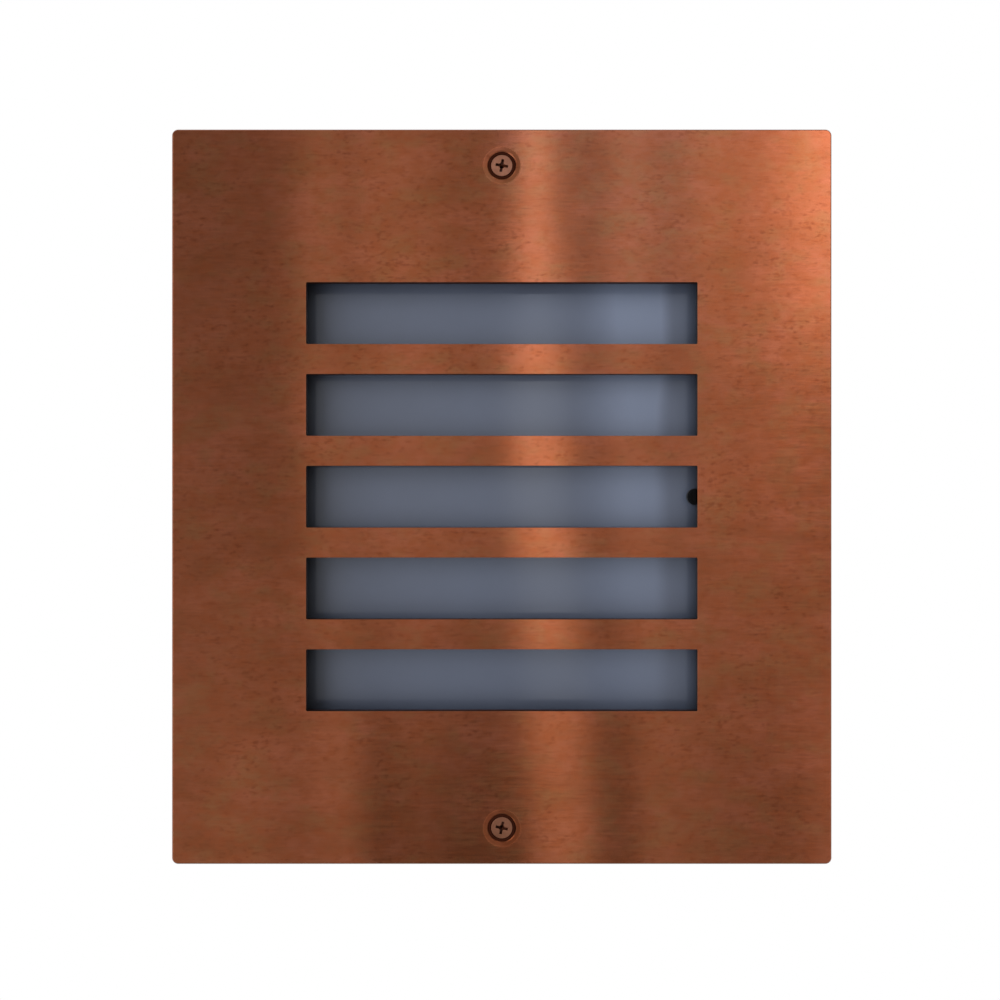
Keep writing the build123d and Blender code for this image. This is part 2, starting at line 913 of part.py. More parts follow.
def build():
    return {
        "face_plate": face_plate(),
        "cover_screw_top": cover_screw(screw_places[0], recess_turn_top),
        "cover_screw_bottom": cover_screw(screw_places[1], recess_turn_bottom),
        "screw_seal_top": screw_seal(screw_places[0]),
        "screw_seal_bottom": screw_seal(screw_places[1]),
        "cover_gasket": cover_gasket(),
        "glass_frame": glass_frame(),
        "frame_studs": frame_studs(),
        "frame_nuts": frame_nuts(),
        "glass_gasket": glass_gasket(),
        "glass_pane": glass_pane(),
        "glass_retainer_top": glass_retainer(1),
        "glass_retainer_bottom": glass_retainer(-1),
        "retainer_screws": retainer_screws(),
        "plate_bumpers": plate_bumpers(),
        "wall_box": wall_box(),
        "screw_inserts": screw_inserts(),
        "reflector": reflector(),
        "reflector_screws": reflector_screws(),
        "lampholder_bracket": lampholder_bracket(),
        "bracket_rivets": bracket_rivets(),
        "lampholder_body": lampholder_body(),
        "lampholder_screws": lampholder_screws(),
        "lampholder_shell": lampholder_shell(),
        "lampholder_contact": lampholder_contact(),
        "lamp_contact": lamp_contact(),
        "lamp_insulator": lamp_insulator(),
        "lamp_cap": lamp_cap(),
        "lamp_housing": lamp_housing(),
        "lamp_globe": lamp_globe(),
        "terminal_block": terminal_block(),
        "terminal_screws": terminal_screws(),
        "terminal_fixings": terminal_fixings(),
        "live_lead": lead(0, lead_places()[0]),
        "neutral_lead": lead(1, lead_places()[1]),
        "gland_washer": entry_washer(gland_place),
        "gland_body": gland_body(),
        "gland_locknut": entry_locknut(gland_place),
        "gland_seal": gland_seal(),
        "gland_nut": gland_nut(),
        "plug_washer": entry_washer(plug_place),
        "blanking_plug": blanking_plug(),
        "plug_locknut": entry_locknut(plug_place),
    }


os.makedirs("parts", exist_ok=True)
for node, shape in build().items():
    export_step(shape, f"parts/{node}.step")
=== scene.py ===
import math

import bmesh
import bpy
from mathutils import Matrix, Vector


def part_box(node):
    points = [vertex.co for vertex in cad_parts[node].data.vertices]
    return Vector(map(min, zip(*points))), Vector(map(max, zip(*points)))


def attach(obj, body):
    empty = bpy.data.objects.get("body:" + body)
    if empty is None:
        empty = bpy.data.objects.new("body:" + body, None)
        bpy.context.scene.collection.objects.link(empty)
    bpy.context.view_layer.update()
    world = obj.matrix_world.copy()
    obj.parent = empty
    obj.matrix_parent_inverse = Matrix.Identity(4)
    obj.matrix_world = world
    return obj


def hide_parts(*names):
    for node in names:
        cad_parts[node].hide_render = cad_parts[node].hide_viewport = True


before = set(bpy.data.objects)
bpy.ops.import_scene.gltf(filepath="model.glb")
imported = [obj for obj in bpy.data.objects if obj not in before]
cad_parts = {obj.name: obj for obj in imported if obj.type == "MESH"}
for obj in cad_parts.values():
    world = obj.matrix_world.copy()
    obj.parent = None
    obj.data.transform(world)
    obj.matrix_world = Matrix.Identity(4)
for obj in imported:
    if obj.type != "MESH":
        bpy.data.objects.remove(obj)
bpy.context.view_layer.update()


# Wall box: the deep tray that is set into the brickwork, with a flange round its mouth.
# It is moulded in black glass-filled plastic from a spark-eroded tool, so its skin is finely
# grained and dull, and it goes slightly grey where dust settles on its ribs and ledges.
def put(tree, kind, inputs=None, **settings):
    """Adds one node to a tree: its settings, then its inputs, which are values or other sockets."""
    made = tree.nodes.new(kind)
    for name, value in settings.items():
        setattr(made, name, value)
    for key, value in (inputs or {}).items():
        if isinstance(value, bpy.types.NodeSocket):
            tree.links.new(value, made.inputs[key])
        else:
            made.inputs[key].default_value = value
    return made


def sums(tree, operation, first, second=0.0, third=0.0):
    """One step of arithmetic on numbers or sockets."""
    terms = {0: first, 1: second, 2: third}
    return put(tree, "ShaderNodeMath", terms, operation=operation).outputs[0]


def spread(tree, value, low, high, start=0.3, end=0.7):
    """Stretches a value that runs from start to end over the range from low to high."""
    limits = {"Value": value, "From Min": start, "From Max": end, "To Min": low, "To Max": high}
    return put(tree, "ShaderNodeMapRange", limits).outputs["Result"]


def eased(tree, value, start, end):
    """Rises softly from 0 to 1 between two values."""
    limits = {"Value": value, "From Min": start, "From Max": end}
    return put(tree, "ShaderNodeMapRange", limits, interpolation_type="SMOOTHSTEP").outputs["Result"]


def dimmed(tree, colour, level):
    """A colour at a share of its brightness."""
    return put(tree, "ShaderNodeVectorMath", {0: colour, "Scale": level}, operation="SCALE").outputs[0]


def blended(tree, share, first, second):
    """A colour between two, by the share of the second."""
    return put(tree, "ShaderNodeMix", {0: share, 6: first, 7: second}, data_type="RGBA").outputs[2]


def noise(tree, spot, scale, detail=2.0, rough=0.5):
    """Cloudy values about 0.5, the same on every run."""
    inputs = {"Vector": spot, "Scale": scale, "Detail": detail, "Roughness": rough}
    return put(tree, "ShaderNodeTexNoise", inputs).outputs["Fac"]


def point_of(tree):
    """Where a point lies on its piece, in metres."""
    return put(tree, "ShaderNodeTexCoord").outputs["Object"]


def split(tree, vector):
    """A vector's X, Y and Z, by name."""
    return put(tree, "ShaderNodeSeparateXYZ", {0: vector}).outputs


def facing_of(tree):
    """Which way the surface faces, as X, Y and Z."""
    return split(tree, put(tree, "ShaderNodeNewGeometry").outputs["Normal"])


def effect(name, inputs, outputs):
    """An empty shader group with named sockets, and its two ends."""
    group = bpy.data.node_groups.new(name, "ShaderNodeTree")
    for label, kind, value in inputs:
        socket = group.interface.new_socket(label, in_out="INPUT", socket_type="NodeSocket" + kind)
        socket.default_value = value
    for label, kind in outputs:
        group.interface.new_socket(label, in_out="OUTPUT", socket_type="NodeSocket" + kind)
    return group, group.nodes.new("NodeGroupInput").outputs, group.nodes.new("NodeGroupOutput").inputs


moulded_skin, given, out = effect(
    "moulded_skin",
    [("Tint", "Color", (0.5, 0.5, 0.5, 1)), ("Dullness", "Float", 0.5), ("Grain", "Float", 2500.0),
     ("Mottle", "Float", 0.1)],
    [("Color", "Color"), ("Roughness", "Float"), ("Height", "Float")],
)
spot = point_of(moulded_skin)
cloud = noise(moulded_skin, spot, 34.0, 5.0, 0.62)
level = sums(moulded_skin, "MULTIPLY_ADD", spread(moulded_skin, cloud, -1.0, 1.0), given["Mottle"], 1.0)
moulded_skin.links.new(dimmed(moulded_skin, given["Tint"], level), out["Color"])
uneven = sums(moulded_skin, "ADD", given["Dullness"], spread(moulded_skin, cloud, -0.07, 0.07))
moulded_skin.links.new(uneven, out["Roughness"])
moulded_skin.links.new(noise(moulded_skin, spot, given["Grain"]), out["Height"])

settled_dust, given, out = effect(
    "settled_dust",
    [("Color", "Color", (0.5, 0.5, 0.5, 1)), ("Roughness", "Float", 0.5), ("Amount", "Float", 0.2)],
    [("Color", "Color"), ("Roughness", "Float")],
)
grey_dust = (0.36, 0.33, 0.29, 1)
patch = noise(settled_dust, point_of(settled_dust), 260.0, 6.0, 0.75)
patch = spread(settled_dust, patch, 0.0, 1.0, 0.3, 0.8)
share = spread(settled_dust, facing_of(settled_dust)["Z"], 0.2, 1.0, 0.1, 0.95)
share = sums(settled_dust, "MULTIPLY", share, patch)
share = sums(settled_dust, "MULTIPLY", share, given["Amount"])
settled_dust.links.new(blended(settled_dust, share, given["Color"], grey_dust), out["Color"])
duller = sums(settled_dust, "MULTIPLY_ADD", share, 0.4, given["Roughness"])
settled_dust.links.new(duller, out["Roughness"])


def emptied(owner):
    """The node tree of a new material or surround, with nothing in it yet."""
    owner.use_nodes = True
    owner.node_tree.nodes.clear()
    return owner.node_tree


def bare_finish(name, **constants):
    """A material with its surface shader alone, whose plain values are given by socket name."""
    finish = bpy.data.materials.new(name)
    tree = emptied(finish)
    surface = put(tree, "ShaderNodeBsdfPrincipled")
    for label, value in constants.items():
        surface.inputs[label.replace("_", " ")].default_value = value
    put(tree, "ShaderNodeOutputMaterial", {"Surface": surface.outputs[0]})
    return finish, tree, surface.inputs


def roughen(tree, surface, height, depth, edge):
    """Rounds a surface's edges off by a small radius and lets a height ruffle it."""
    softened = put(tree, "ShaderNodeBevel", {"Radius": edge}, samples=4).outputs[0]
    relief = {"Strength": depth, "Distance": 0.0003, "Height": height, "Normal": softened}
    tree.links.new(put(tree, "ShaderNodeBump", relief).outputs[0], surface["Normal"])


def moulded_finish(name, tint, dullness, grain, mottle, depth, dust, edge=0.0004, **constants):
    """A moulded or cast finish: grained, slightly uneven in colour, and dusty on top."""
    finish, tree, surface = bare_finish(name, **constants)
    sizes = {"Tint": (*tint, 1), "Dullness": dullness, "Grain": grain, "Mottle": mottle}
    skin = put(tree, "ShaderNodeGroup", sizes, node_tree=moulded_skin).outputs
    layer = {"Color": skin["Color"], "Roughness": skin["Roughness"], "Amount": dust}
    top = put(tree, "ShaderNodeGroup", layer, node_tree=settled_dust).outputs
    tree.links.new(top["Color"], surface["Base Color"])
    tree.links.new(top["Roughness"], surface["Roughness"])
    roughen(tree, surface, skin["Height"], depth, edge)
    return finish


def dress(finish, *names):
    """Gives CAD pieces their finish."""
    for name in names:
        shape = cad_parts[name].data
        shape.materials.clear()
        shape.materials.append(finish)


black_moulding = moulded_finish("black_moulding", (0.018, 0.018, 0.02), dullness=0.52, grain=2600.0,
                                mottle=0.16, depth=0.35, dust=0.13)
dress(black_moulding, "wall_box")

# Screw inserts: turned brass sleeves with an M4 thread, pressed hot into the box's two bosses.
# Like the terminal screws and the lampholder's contact strip they are plain turned brass.
brushed_grain, given, out = effect(
    "brushed_grain",
    [("Tint", "Color", (0.5, 0.5, 0.5, 1)), ("Strokes", "Vector", (100.0, 100.0, 100.0)),
     ("Dullness", "Float", 0.3), ("Contrast", "Float", 0.1)],
    [("Color", "Color"), ("Roughness", "Float"), ("Height", "Float")],
)
lengths = {0: point_of(brushed_grain), 1: given["Strokes"]}
drawn = put(brushed_grain, "ShaderNodeVectorMath", lengths, operation="MULTIPLY").outputs[0]
fine = noise(brushed_grain, drawn, 1.0, 3.0, 0.6)
both = sums(brushed_grain, "ADD", fine, noise(brushed_grain, drawn, 0.45))
stroke = spread(brushed_grain, both, -1.0, 1.0, 0.65, 1.35)
level = sums(brushed_grain, "MULTIPLY_ADD", stroke, given["Contrast"], 1.0)
brushed_grain.links.new(dimmed(brushed_grain, given["Tint"], level), out["Color"])
uneven = sums(brushed_grain, "MULTIPLY_ADD", stroke, 0.02, given["Dullness"])
brushed_grain.links.new(uneven, out["Roughness"])
brushed_grain.links.new(both, out["Height"])

# Grime and painted shade: hollows found by ambient occlusion go brown and less metallic, partly as grime and
# partly as painted shade in recesses.
grime_and_painted_shade, given, out = effect(
    "grime_and_painted_shade", [("Color", "Color", (0.5, 0.5, 0.5, 1)), ("Reach", "Float", 0.001)],
    [("Color", "Color"), ("Clean And Lit", "Float")],
)
brown_of_grime_and_shade = (0.110, 0.027, 0.011, 1)
hollow = put(grime_and_painted_shade, "ShaderNodeAmbientOcclusion", {"Distance": given["Reach"]}, samples=6).outputs["AO"]
clean_and_lit = spread(grime_and_painted_shade, hollow, 0.0, 1.0, 0.45, 0.9)
grime_and_painted_shade.links.new(blended(grime_and_painted_shade, clean_and_lit, brown_of_grime_and_shade, given["Color"]), out["Color"])
grime_and_painted_shade.links.new(clean_and_lit, out["Clean And Lit"])


def metal_finish(name, tint, tarnish, dullness, strokes, contrast, depth):
    """A drawn, rolled or turned metal: fine strokes one way under clouds of a second tint."""
    finish, tree, surface = bare_finish(name, Specular_IOR_Level=0.1)
    share = spread(tree, noise(tree, point_of(tree), 90.0, 5.0, 0.65), 0.0, 1.0, 0.38, 0.68)
    clouded = blended(tree, share, (*tint, 1), (*tarnish, 1))
    sizes = {"Tint": clouded, "Strokes": strokes, "Dullness": dullness, "Contrast": contrast}
    grain = put(tree, "ShaderNodeGroup", sizes, node_tree=brushed_grain).outputs
    # Painted shade: the hollows go brown and less metallic by ambient occlusion, partly grime and partly
    # shade.
    hollows = {"Color": grain["Color"], "Reach": 0.003}
    dirt_and_shade = put(tree, "ShaderNodeGroup", hollows, node_tree=grime_and_painted_shade).outputs
    tree.links.new(dirt_and_shade["Color"], surface["Base Color"])
    tree.links.new(dirt_and_shade["Clean And Lit"], surface["Metallic"])
    tree.links.new(grain["Roughness"], surface["Roughness"])
    roughen(tree, surface, grain["Height"], depth, 0.00015)
    return finish


brass = metal_finish("brass", (0.56, 0.36, 0.13), (0.44, 0.26, 0.09), dullness=0.30,
                     strokes=(900, 900, 900), contrast=0.10, depth=0.05)
dress(brass, "screw_inserts")

# Cable gland and blanking plug on the box's back: a hollow screwed stub with a hexagon, a rubber
# sleeve that a nut squeezes on the cable, and a slotted plug that closes the spare entry. All
# are moulded in grey nylon, with flat black rubber washers under them.
grey_nylon = moulded_finish("grey_nylon", (0.082, 0.086, 0.092), dullness=0.42, grain=1800.0, mottle=0.10,
                            depth=0.12, dust=0.10)
black_rubber = moulded_finish("black_rubber", (0.012, 0.012, 0.012), dullness=0.72, grain=3800.0,
                              mottle=0.22, depth=0.25, dust=0.14, Specular_IOR_Level=0.25)
dress(grey_nylon, "gland_body", "gland_locknut", "gland_nut", "blanking_plug", "plug_locknut")
dress(black_rubber, "gland_washer", "gland_seal", "plug_washer")

# Terminal block: three ways with brass clamping screws in a strip of natural nylon, held to the
# box's floor by two small zinc-plated screws.
natural_nylon = moulded_finish("natural_nylon", (0.66, 0.64, 0.57), dullness=0.40, grain=1500.0,
                               mottle=0.05, depth=0.06, dust=0.10,
                               Subsurface_Weight=0.25, Subsurface_Scale=0.002)
dress(natural_nylon, "terminal_block")


def solids(name):
    """The boxes of a CAD piece's separate solids, in a fixed order."""
    shape = bmesh.new()
    shape.from_mesh(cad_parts[name].data)
    bmesh.ops.remove_doubles(shape, verts=shape.verts, dist=1e-6)
    left = set(shape.verts)
    boxes = []
    while left:
        grown = [left.pop()]
        for vertex in grown:
            for edge in vertex.link_edges:
                other = edge.other_vert(vertex)
                if other in left:
                    left.remove(other)
                    grown.append(other)
        low = Vector([min(vertex.co[axis] for vertex in grown) for axis in range(3)])
        high = Vector([max(vertex.co[axis] for vertex in grown) for axis in range(3)])
        boxes.append((low, high))
    shape.free()
    return sorted(boxes, key=lambda box: tuple(round(value, 5) for value in box[0]))


def ends(name, axis=1, far=False):
    """The middle of the front of each of a CAD piece's solids, or of its near or far end on an axis."""
    places = []
    for low, high in solids(name):
        place = (low + high) / 2
        place[axis] = high[axis] if far else low[axis]
        places.append(place)
    return places


def rule(name, sizes):
    """An empty Geometry Nodes tree with named sizes, which takes places and gives a shape."""
    tree = bpy.data.node_groups.new(name, "GeometryNodeTree")
    tree.interface.new_socket("Places", in_out="INPUT", socket_type="NodeSocketGeometry")
    for label, value in sizes.items():
        kind = {bool: "Bool", int: "Int", tuple: "Vector"}.get(type(value), "Float")
        socket = tree.interface.new_socket(label, in_out="INPUT", socket_type="NodeSocket" + kind)
        socket.default_value = value
    tree.interface.new_socket("Finish", in_out="INPUT", socket_type="NodeSocketMaterial")
    tree.interface.new_socket("Shape", in_out="OUTPUT", socket_type="NodeSocketGeometry")
    return tree, tree.nodes.new("NodeGroupInput").outputs


def lathe(tree, rows, columns, outline):
    """A surface turned about Y: outline gives its radius and depth from a row's number and the angle."""
    sheet = {"Size X": 1.0, "Size Y": 1.0, "Vertices X": columns, "Vertices Y": rows}
    grid = put(tree, "GeometryNodeMeshGrid", sheet).outputs["Mesh"]
    place = split(tree, put(tree, "GeometryNodeInputPosition").outputs[0])
    angle = sums(tree, "MULTIPLY", sums(tree, "ADD", place["X"], 0.5), math.tau)
    step = sums(tree, "MULTIPLY", sums(tree, "ADD", place["Y"], 0.5), sums(tree, "SUBTRACT", rows, 1.0))
    radius, depth = outline(step, angle)
    ring = {"X": sums(tree, "MULTIPLY", radius, sums(tree, "COSINE", angle)), "Y": depth,
            "Z": sums(tree, "MULTIPLY", radius, sums(tree, "SINE", angle))}
    position = put(tree, "ShaderNodeCombineXYZ", ring).outputs[0]
    shaped = put(tree, "GeometryNodeSetPosition", {"Geometry": grid, "Position": position}).outputs[0]
    return put(tree, "GeometryNodeMergeByDistance", {"Geometry": shaped, "Distance": 1e-6}).outputs[0]


def turned(tree, rows, columns, profile):
    """A closed rod turned about Y: profile gives its radius and depth from the share along it."""
    def outline(step, angle):
        last = sums(tree, "SUBTRACT", rows, 2.0)
        radius, depth = profile(spread(tree, step, 0.0, 1.0, 1.0, last), angle)
        ends_closed = sums(tree, "MULTIPLY", sums(tree, "GREATER_THAN", step, 0.5),
                           sums(tree, "LESS_THAN", step, sums(tree, "ADD", last, 0.5)))
        return sums(tree, "MULTIPLY", radius, ends_closed), depth

    return lathe(tree, rows, columns, outline)


def threaded(tree, radius, depth, angle, pitch):
    """A rod's radius at a depth and an angle, with a V thread cut in by a share of its pitch."""
    cut_share = 0.55
    phase = sums(tree, "SUBTRACT", sums(tree, "DIVIDE", depth, pitch), sums(tree, "DIVIDE", angle, math.tau))
    groove = sums(tree, "MULTIPLY", sums(tree, "PINGPONG", phase, 0.5), 2.0)
    return sums(tree, "MULTIPLY_ADD", sums(tree, "MULTIPLY", groove, pitch), -cut_share, radius)


def give_out(tree, shape, size):
    """Sets a shape at each place, faced one way and turned at random, and hands it out as a mesh."""
    set_out = {"Points": size["Places"], "Instance": shape, "Rotation": size["Facing"]}
    copies = put(tree, "GeometryNodeInstanceOnPoints", set_out).outputs[0]
    limits = {2: 0.0, 3: size["Twist"], "Seed": size["Seed"]}
    chance = put(tree, "FunctionNodeRandomValue", limits, data_type="FLOAT").outputs[1]
    spin = put(tree, "ShaderNodeCombineXYZ", {"Y": chance}).outputs[0]
    turns = {"Instances": copies, "Rotation": spin, "Local Space": True}
    copies = put(tree, "GeometryNodeRotateInstances", turns).outputs[0]
    real = put(tree, "GeometryNodeRealizeInstances", {0: copies}).outputs[0]
    done = put(tree, "GeometryNodeSetMaterial", {"Geometry": real, "Material": size["Finish"]}).outputs[0]
    put(tree, "NodeGroupOutput", {0: done})


screw_rule, size = rule("machine_screw", {
    "Head Diameter": 0.007, "Head Height": 0.002, "Dome": 1.0, "Dome Power": 3.0, "Thread Diameter": 0.0035,
    "Pitch": 0.0007, "Length": 0.01, "Recess Span": 0.004, "Recess Width": 0.001, "Recess Depth": 0.0012,
    "Slotted": False, "Facing": (0.0, 0.0, 0.0), "Twist": 0.0, "Rows": 90, "Seed": 1,
})


def screw_profile(along, angle):
    """A countersunk or domed head on a threaded rod with a blunt tip."""
    tree = screw_rule
    rim_width, tip_share = 0.00012, 0.68
    depth = sums(tree, "MULTIPLY", along, size["Length"])
    head = sums(tree, "DIVIDE", size["Head Diameter"], 2.0)
    cone = sums(tree, "MAXIMUM", sums(tree, "SUBTRACT", depth, size["Head Height"]), 0.0)
    rim = sums(tree, "ADD", sums(tree, "SUBTRACT", head, rim_width), depth)
    sunk = sums(tree, "MINIMUM", sums(tree, "SUBTRACT", head, cone), rim)
    rise = sums(tree, "SUBTRACT", 1.0, sums(tree, "DIVIDE", depth, size["Head Height"]))
    rise = sums(tree, "MAXIMUM", rise, 0.0)
    full = sums(tree, "SUBTRACT", 1.0, sums(tree, "POWER", rise, size["Dome Power"]))
    root = sums(tree, "DIVIDE", 1.0, size["Dome Power"])
    dome = sums(tree, "MULTIPLY", head, sums(tree, "POWER", full, root))
    dome = sums(tree, "MULTIPLY", dome, sums(tree, "LESS_THAN", depth, size["Head Height"]))
    top = put(tree, "ShaderNodeMix", {0: size["Dome"], 2: sunk, 3: dome}).outputs[0]
    radius = sums(tree, "DIVIDE", size["Thread Diameter"], 2.0)
    rod = threaded(tree, radius, depth, angle, size["Pitch"])
    tip = sums(tree, "MULTIPLY_ADD", radius, tip_share, sums(tree, "SUBTRACT", size["Length"], depth))
    return sums(tree, "MINIMUM", sums(tree, "MAXIMUM", top, rod), tip), depth


blank = turned(screw_rule, size["Rows"], 41, screw_profile)
deep = sums(screw_rule, "MULTIPLY", size["Recess Depth"], 2.0)
sides = {"X": size["Recess Span"], "Y": deep, "Z": size["Recess Width"]}
sides = put(screw_rule, "ShaderNodeCombineXYZ", sides).outputs[0]
blade = put(screw_rule, "GeometryNodeMeshCube", {"Size": sides}).outputs["Mesh"]
quarter = math.pi / 2
across = {"Geometry": blade, "Rotation": (0, quarter, 0)}
crossed = put(screw_rule, "GeometryNodeTransform", across).outputs[0]
taper = {"Vertices": 4, "Radius Top": sums(screw_rule, "MULTIPLY", size["Recess Width"], 0.35),
         "Radius Bottom": sums(screw_rule, "MULTIPLY", size["Recess Width"], 1.5), "Depth": deep}
core = put(screw_rule, "GeometryNodeMeshCone", taper).outputs["Mesh"]
inward = {"Geometry": core, "Rotation": (-quarter, 0, 0)}
core = put(screw_rule, "GeometryNodeTransform", inward).outputs[0]
pair = {"Mesh 1": blank, "Mesh 2": blade}
cutting = put(screw_rule, "GeometryNodeMeshBoolean", pair, operation="DIFFERENCE", solver="MANIFOLD")
for shape in (crossed, core):
    choice = {"Switch": size["Slotted"], "False": shape}
    cutter = put(screw_rule, "GeometryNodeSwitch", choice, input_type="GEOMETRY").outputs[0]
    screw_rule.links.new(cutter, cutting.inputs["Mesh 2"])
give_out(screw_rule, cutting.outputs[0], size)


def set_down(name, data):
    """Puts a mesh, a lamp or a lens into the scene as an object."""
    thing = bpy.data.objects.new(name, data)
    bpy.context.scene.collection.objects.link(thing)
    return thing


def made_by(tree, name, places, body, finish, replaced, sizes):
    """Runs a rule at its places and leaves one plain, closed mesh on a body, in place of CAD pieces."""
    points = bpy.data.meshes.new(name + "_places")
    points.from_pydata([tuple(place) for place in places], [], [])
    maker = set_down(name + "_maker", points)
    steps = maker.modifiers.new("rule", "NODES")
    steps.node_group = tree
    for socket in tree.interface.items_tree:
        if socket.in_out == "INPUT" and socket.name in sizes:
            steps[socket.identifier] = sizes[socket.name]
        elif socket.in_out == "INPUT" and socket.name == "Finish":
            steps[socket.identifier] = finish
    made = bpy.data.meshes.new_from_object(maker.evaluated_get(bpy.context.evaluated_depsgraph_get()))
    bpy.data.objects.remove(maker)
    shape = bmesh.new()
    shape.from_mesh(made)
    bmesh.ops.remove_doubles(shape, verts=shape.verts, dist=1e-7)
    bmesh.ops.recalc_face_normals(shape, faces=shape.faces)
    shape.to_mesh(made)
    shape.free()
    made.name = name
    made.polygons.foreach_set("use_smooth", [True] * len(made.polygons))
    made.set_sharp_from_angle(angle=math.radians(32))
    piece = set_down(name, made)
    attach(piece, body)
    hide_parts(*replaced)


zinc = metal_finish("zinc_plating", (0.56, 0.57, 0.60), (0.60, 0.57, 0.47), dullness=0.34,
                    strokes=(500, 500, 60), contrast=0.06, depth=0.06)
made_by(screw_rule, "clamp_screws", ends("terminal_screws"), "wall_box", brass,
        ["terminal_screws"],
        {"Head Diameter": 0.0034, "Head Height": 0.0009, "Dome Power": 7.0, "Thread Diameter": 0.003,
         "Pitch": 0.0005, "Length": 0.0012, "Recess Span": 0.005, "Recess Width": 0.0007,
         "Recess Depth": 0.0007, "Slotted": True, "Twist": 3.0, "Rows": 24, "Seed": 3})
made_by(screw_rule, "block_screws", ends("terminal_fixings"), "wall_box", zinc,
        ["terminal_fixings"],
        {"Head Diameter": 0.0054, "Head Height": 0.0016, "Thread Diameter": 0.003, "Pitch": 0.0005,
         "Length": 0.0126, "Recess Span": 0.0031, "Recess Width": 0.0007, "Recess Depth": 0.001,
         "Twist": 1.5, "Rows": 200, "Seed": 5})

# Leads: two single wires, brown and blue, that run from the block behind the reflector to the
# lampholder. Their soft sheaths are extruded, so they are smooth and faintly waxy.
for sheath, tint, lead in (
    ("brown_sheath", (0.12, 0.045, 0.02), "live_lead"),
    ("blue_sheath", (0.02, 0.07, 0.26), "neutral_lead"),
):
    dress(moulded_finish(sheath, tint, dullness=0.38, grain=900.0, mottle=0.10, depth=0.05, dust=0.08), lead)

# Reflector: one sheet of steel folded into a shallow trough and stoved gloss white, with the
# slight orange peel of a sprayed coat. Four pan-head screws hold it on the box's posts.
white_paint = moulded_finish("white_stoving", (0.80, 0.80, 0.77), dullness=0.38, grain=420.0, mottle=0.03,
                             depth=0.04, dust=0.05, Coat_Weight=0.20, Coat_Roughness=0.12)
dress(white_paint, "reflector")
made_by(screw_rule, "post_screws", ends("reflector_screws"), "wall_box", zinc,
        ["reflector_screws"],
        {"Head Diameter": 0.007, "Head Height": 0.002, "Thread Diameter": 0.0035, "Pitch": 0.0012,
         "Length": 0.01, "Recess Span": 0.0042, "Recess Width": 0.0009, "Recess Depth": 0.0013,
         "Twist": 1.5, "Rows": 110, "Seed": 7})

# Lampholder: a glazed porcelain cup with a rolled nickel-plated screw shell, on a bracket of
# zinc-plated steel that is riveted to the reflector.
nickel = metal_finish("nickel_plating", (0.62, 0.59, 0.53), (0.52, 0.48, 0.42), dullness=0.22,
                      strokes=(60, 900, 900), contrast=0.06, depth=0.04)
porcelain = moulded_finish("glazed_porcelain", (0.78, 0.76, 0.70), dullness=0.16, grain=260.0, mottle=0.04,
                           depth=0.05, dust=0.10, edge=0.001, Coat_Weight=0.5)
dress(zinc, "lampholder_bracket")
dress(porcelain, "lampholder_body")
dress(brass, "lampholder_contact")
rivet_rule, size = rule("dome_rivet", {
    "Head Diameter": 0.007, "Head Height": 0.0014, "Shank Diameter": 0.004, "Length": 0.005,
    "Facing": (0.0, 0.0, 0.0), "Twist": 0.0, "Seed": 1,
})


def rivet_profile(along, angle):
    """A plain shank with a round head on both ends, the same all round."""
    tree = rivet_rule
    depth = sums(tree, "MULTIPLY", along, size["Length"])
    near = sums(tree, "MINIMUM", depth, sums(tree, "SUBTRACT", size["Length"], depth))
    rise = sums(tree, "SUBTRACT", 1.0, sums(tree, "DIVIDE", near, size["Head Height"]))
    rise = sums(tree, "MAXIMUM", rise, 0.0)
    dome = sums(tree, "SQRT", sums(tree, "SUBTRACT", 1.0, sums(tree, "POWER", rise, 2.0)))
    inside = sums(tree, "LESS_THAN", near, size["Head Height"])
    head = sums(tree, "MULTIPLY", sums(tree, "MULTIPLY", size["Head Diameter"], dome), inside)
    shank = sums(tree, "MULTIPLY", size["Shank Diameter"], sums(tree, "SUBTRACT", 1.0, inside))
    return sums(tree, "DIVIDE", sums(tree, "MAXIMUM", head, shank), 2.0), depth


give_out(rivet_rule, turned(rivet_rule, 64, 33, rivet_profile), size)
low, high = solids("bracket_rivets")[0]
made_by(rivet_rule, "holder_rivets", ends("bracket_rivets"), "wall_box", zinc,
        ["bracket_rivets"], {"Length": high.y - low.y})


def sleeve(tree, steps, columns, profile):
    """A closed ring turned about Y: profile gives its outer and inner radius and its depth."""
    def outline(step, angle):
        back = sums(tree, "SUBTRACT", 2 * steps - 1, step)
        along = spread(tree, sums(tree, "MINIMUM", step, back), 0.0, 1.0, 0.0, steps - 1)
        inside = sums(tree, "MULTIPLY", sums(tree, "GREATER_THAN", step, steps - 0.5),
                      sums(tree, "GREATER_THAN", back, -0.5))
        outer, inner, depth = profile(along, angle)
        return put(tree, "ShaderNodeMix", {0: inside, 2: outer, 3: inner}).outputs[0], depth

    return lathe(tree, 2 * steps + 1, columns, outline)


rolled_rule, size = rule("rolled_screw_shell", {
    "Diameter": 0.0262, "Wall": 0.0007, "Length": 0.02, "Pitch": 0.00363, "Thread Depth": 0.001,
    "Plain Start": 0.0012, "Plain End": 0.005, "Facing": (0.0, 0.0, 0.0), "Twist": 0.0, "Seed": 1,
})


